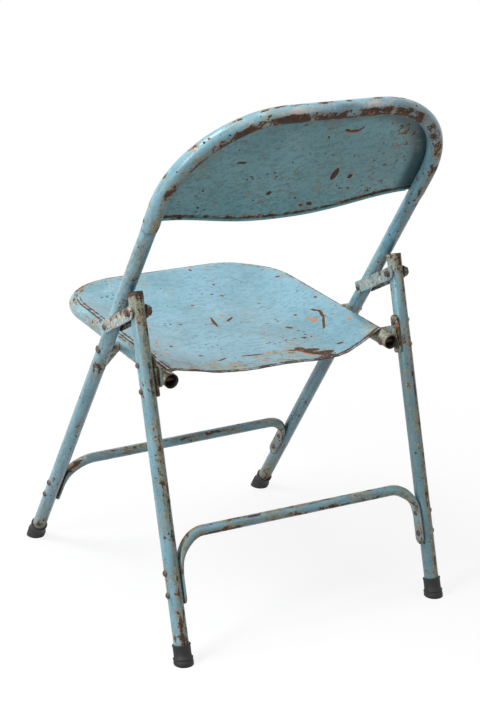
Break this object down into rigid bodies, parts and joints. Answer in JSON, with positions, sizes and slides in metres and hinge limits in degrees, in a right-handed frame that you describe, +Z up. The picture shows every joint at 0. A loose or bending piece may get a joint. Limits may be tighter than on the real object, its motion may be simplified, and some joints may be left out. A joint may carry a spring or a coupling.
{
  "type": "folding chair",
  "caption": "Steel-tube folding chair with a wrapped sheet backrest, a dished sheet seat, cross stretchers and rubber tips; chipped blue paint and rust.",
  "frame": {"origin": "on the floor, at the middle of the chair's overall width and depth", "axes": "+Z up; the sitter faces -Y; +X is the sitter's left"},
  "size_m": [0.4788, 0.5876, 0.7861],
  "materials": {
    "blue_paint": "chipped semi-gloss sky-blue paint over primer, with rust",
    "worn_paint": "heavily chipped blue paint with rust and bare edges",
    "worn_steel": "worn, rusty steel heads with traces of paint",
    "rubber": "dull, dusty black rubber"
  },
  "bodies": {
    "front_frame": {"main_frame_tube": "blue_paint", "backrest_panel": "blue_paint", "front_stretcher": "blue_paint", "front_stretcher_rivets": "worn_steel", "seat_pivot_spacer_left": "blue_paint", "seat_pivot_spacer_right": "blue_paint", "seat_pivot_rivet_left": "worn_steel", "seat_pivot_rivet_right": "worn_steel", "front_tip_left": "rubber", "front_tip_right": "rubber"},
    "seat": {"seat_frame_tube": "blue_paint", "seat_sheet": "blue_paint", "seat_ear_left": "blue_paint", "seat_ear_right": "blue_paint", "rear_pivot_pin_left": "worn_steel", "rear_pivot_pin_right": "worn_steel"},
    "links": {"link_outer_left": "worn_paint", "link_inner_left": "worn_paint", "link_rivet_left": "worn_steel", "link_bolt_left": "worn_steel", "link_nut_left": "worn_steel", "link_outer_right": "worn_paint", "link_inner_right": "worn_paint", "link_rivet_right": "worn_steel", "link_bolt_right": "worn_steel", "link_nut_right": "worn_steel"},
    "rear_legs": {"rear_leg_left": "blue_paint", "rear_leg_right": "blue_paint", "rear_stretcher": "blue_paint", "rear_stretcher_rivets": "worn_steel", "hinge_plate_left": "blue_paint", "hinge_plate_right": "blue_paint", "hinge_plate_rivets": "worn_steel", "rear_tip_left": "rubber", "rear_tip_right": "rubber"}
  },
  "joints": [
    {"name": "seat_fold", "type": "hinge", "parent": "front_frame", "child": "seat", "pos_m": [0, 0.01681, 0.40619], "axis": [-1, 0, 0], "range_deg": [0, 102]},
    {"name": "link_swing", "type": "hinge", "parent": "front_frame", "child": "links", "pos_m": [0, 0.04749, 0.4488], "axis": [-1, 0, 0], "range_deg": [0, 130]},
    {"name": "rear_leg_fold", "type": "hinge", "parent": "links", "child": "rear_legs", "pos_m": [0, 0.12738, 0.48848], "axis": [1, 0, 0], "range_deg": [0, 84.2]}
  ],
  "couplings": [
    {"joint": "link_swing", "follows": "seat_fold", "ratio": 1.2735},
    {"joint": "rear_leg_fold", "follows": "seat_fold", "ratio": 0.8248}
  ]
}
